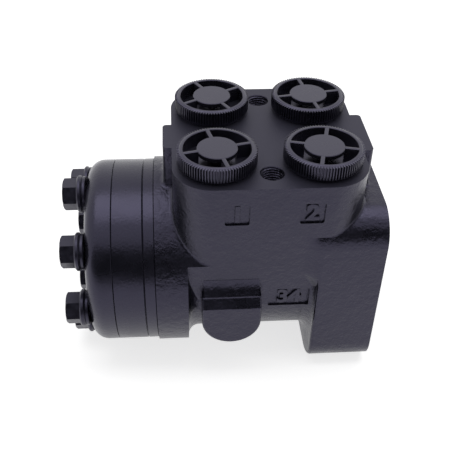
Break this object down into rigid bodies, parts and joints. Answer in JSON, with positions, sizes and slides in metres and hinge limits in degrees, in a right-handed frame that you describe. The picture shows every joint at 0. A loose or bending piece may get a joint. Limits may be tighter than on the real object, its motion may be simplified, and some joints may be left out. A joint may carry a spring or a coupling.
{
  "type": "orbital steering unit",
  "caption": "Hydrostatic steering unit: cast valve housing with top ports, rotary spool and sleeve, orbiting gear set, rear cover and mounting flange.",
  "frame": {"origin": "centre of the mounting face, on the spool axis", "axes": "+X out of the mounting face towards the steering column, +Z out of the port face"},
  "size_m": [0.1434, 0.0905, 0.1169],
  "materials": {
    "cast_black": "satin black paint over cast iron",
    "machined_black": "satin black paint over turned steel",
    "bolt_black": "black finish on steel",
    "plug_plastic": "matt black moulded polyethylene",
    "ground_steel": "ground and oiled steel",
    "spring_steel": "blued spring steel",
    "seal_rubber": "nitrile rubber",
    "bearing_steel": "polished bearing steel"
  },
  "bodies": {
    "housing": {"housing": "cast_black", "distributor_plate": "machined_black", "gear_ring": "machined_black", "end_cover": "machined_black", "cover_bolts": "bolt_black", "cover_washers": "bolt_black", "cover_seal_washers": "bolt_black", "shaft_seal": "seal_rubber", "dust_seal": "seal_rubber", "seal_rings": "seal_rubber", "thrust_race_front": "bearing_steel", "check_valve_seat": "ground_steel"},
    "sleeve": {"sleeve": "ground_steel", "cross_pin": "ground_steel", "spring_ring": "spring_steel", "thrust_race_rear": "bearing_steel", "leaf_springs_flat": "spring_steel", "leaf_springs_arched": "spring_steel"},
    "spool": {"spool": "ground_steel"},
    "needle_cage": {"thrust_needles": "bearing_steel"},
    "orbit_carrier": {"rotor_spacer": "ground_steel"},
    "rotor": {"rotor": "ground_steel"},
    "drive_link": {"drive_link": "ground_steel"},
    "check_ball": {"check_ball": "bearing_steel"},
    "plug_front_left": {"plug_front_left": "plug_plastic"},
    "plug_front_right": {"plug_front_right": "plug_plastic"},
    "plug_back_left": {"plug_back_left": "plug_plastic"},
    "plug_back_right": {"plug_back_right": "plug_plastic"}
  },
  "joints": [
    {"name": "steering_turn", "type": "hinge", "parent": "housing", "child": "sleeve", "pos_m": [0, 0, 0], "axis": [1, 0, 0], "continuous": true},
    {"name": "spool_deflection", "type": "hinge", "parent": "sleeve", "child": "spool", "pos_m": [0, 0, 0], "axis": [1, 0, 0], "range_deg": [-8, 8], "stiffness_Nm_per_rad": 5, "deforming": ["leaf_springs_flat", "leaf_springs_arched"]},
    {"name": "needle_roll", "type": "hinge", "parent": "housing", "child": "needle_cage", "pos_m": [0, 0, 0], "axis": [1, 0, 0], "continuous": true},
    {"name": "rotor_orbit", "type": "hinge", "parent": "housing", "child": "orbit_carrier", "pos_m": [0, 0, 0], "axis": [1, 0, 0], "continuous": true},
    {"name": "rotor_spin", "type": "hinge", "parent": "orbit_carrier", "child": "rotor", "pos_m": [0, 0, 0.003], "axis": [1, 0, 0], "continuous": true},
    {"name": "link_spin", "type": "hinge", "parent": "orbit_carrier", "child": "drive_link", "pos_m": [-0.046, 0, 0], "axis": [0.999, 0, -0.0458], "continuous": true},
    {"name": "check_ball_lift", "type": "slide", "parent": "housing", "child": "check_ball", "axis": [0, 0, 1], "range_m": [0, 0.0024]},
    {"name": "plug_front_left_lift", "type": "slide", "parent": "housing", "child": "plug_front_left", "axis": [0, 0, 1], "range_m": [0, 0.04]},
    {"name": "plug_front_right_lift", "type": "slide", "parent": "housing", "child": "plug_front_right", "axis": [0, 0, 1], "range_m": [0, 0.04]},
    {"name": "plug_back_left_lift", "type": "slide", "parent": "housing", "child": "plug_back_left", "axis": [0, 0, 1], "range_m": [0, 0.04]},
    {"name": "plug_back_right_lift", "type": "slide", "parent": "housing", "child": "plug_back_right", "axis": [0, 0, 1], "range_m": [0, 0.04]}
  ],
  "couplings": [
    {"joint": "needle_roll", "follows": "steering_turn", "ratio": 0.5},
    {"joint": "rotor_orbit", "follows": "steering_turn", "ratio": -6},
    {"joint": "rotor_spin", "follows": "steering_turn", "ratio": 7},
    {"joint": "link_spin", "follows": "steering_turn", "ratio": 7}
  ]
}
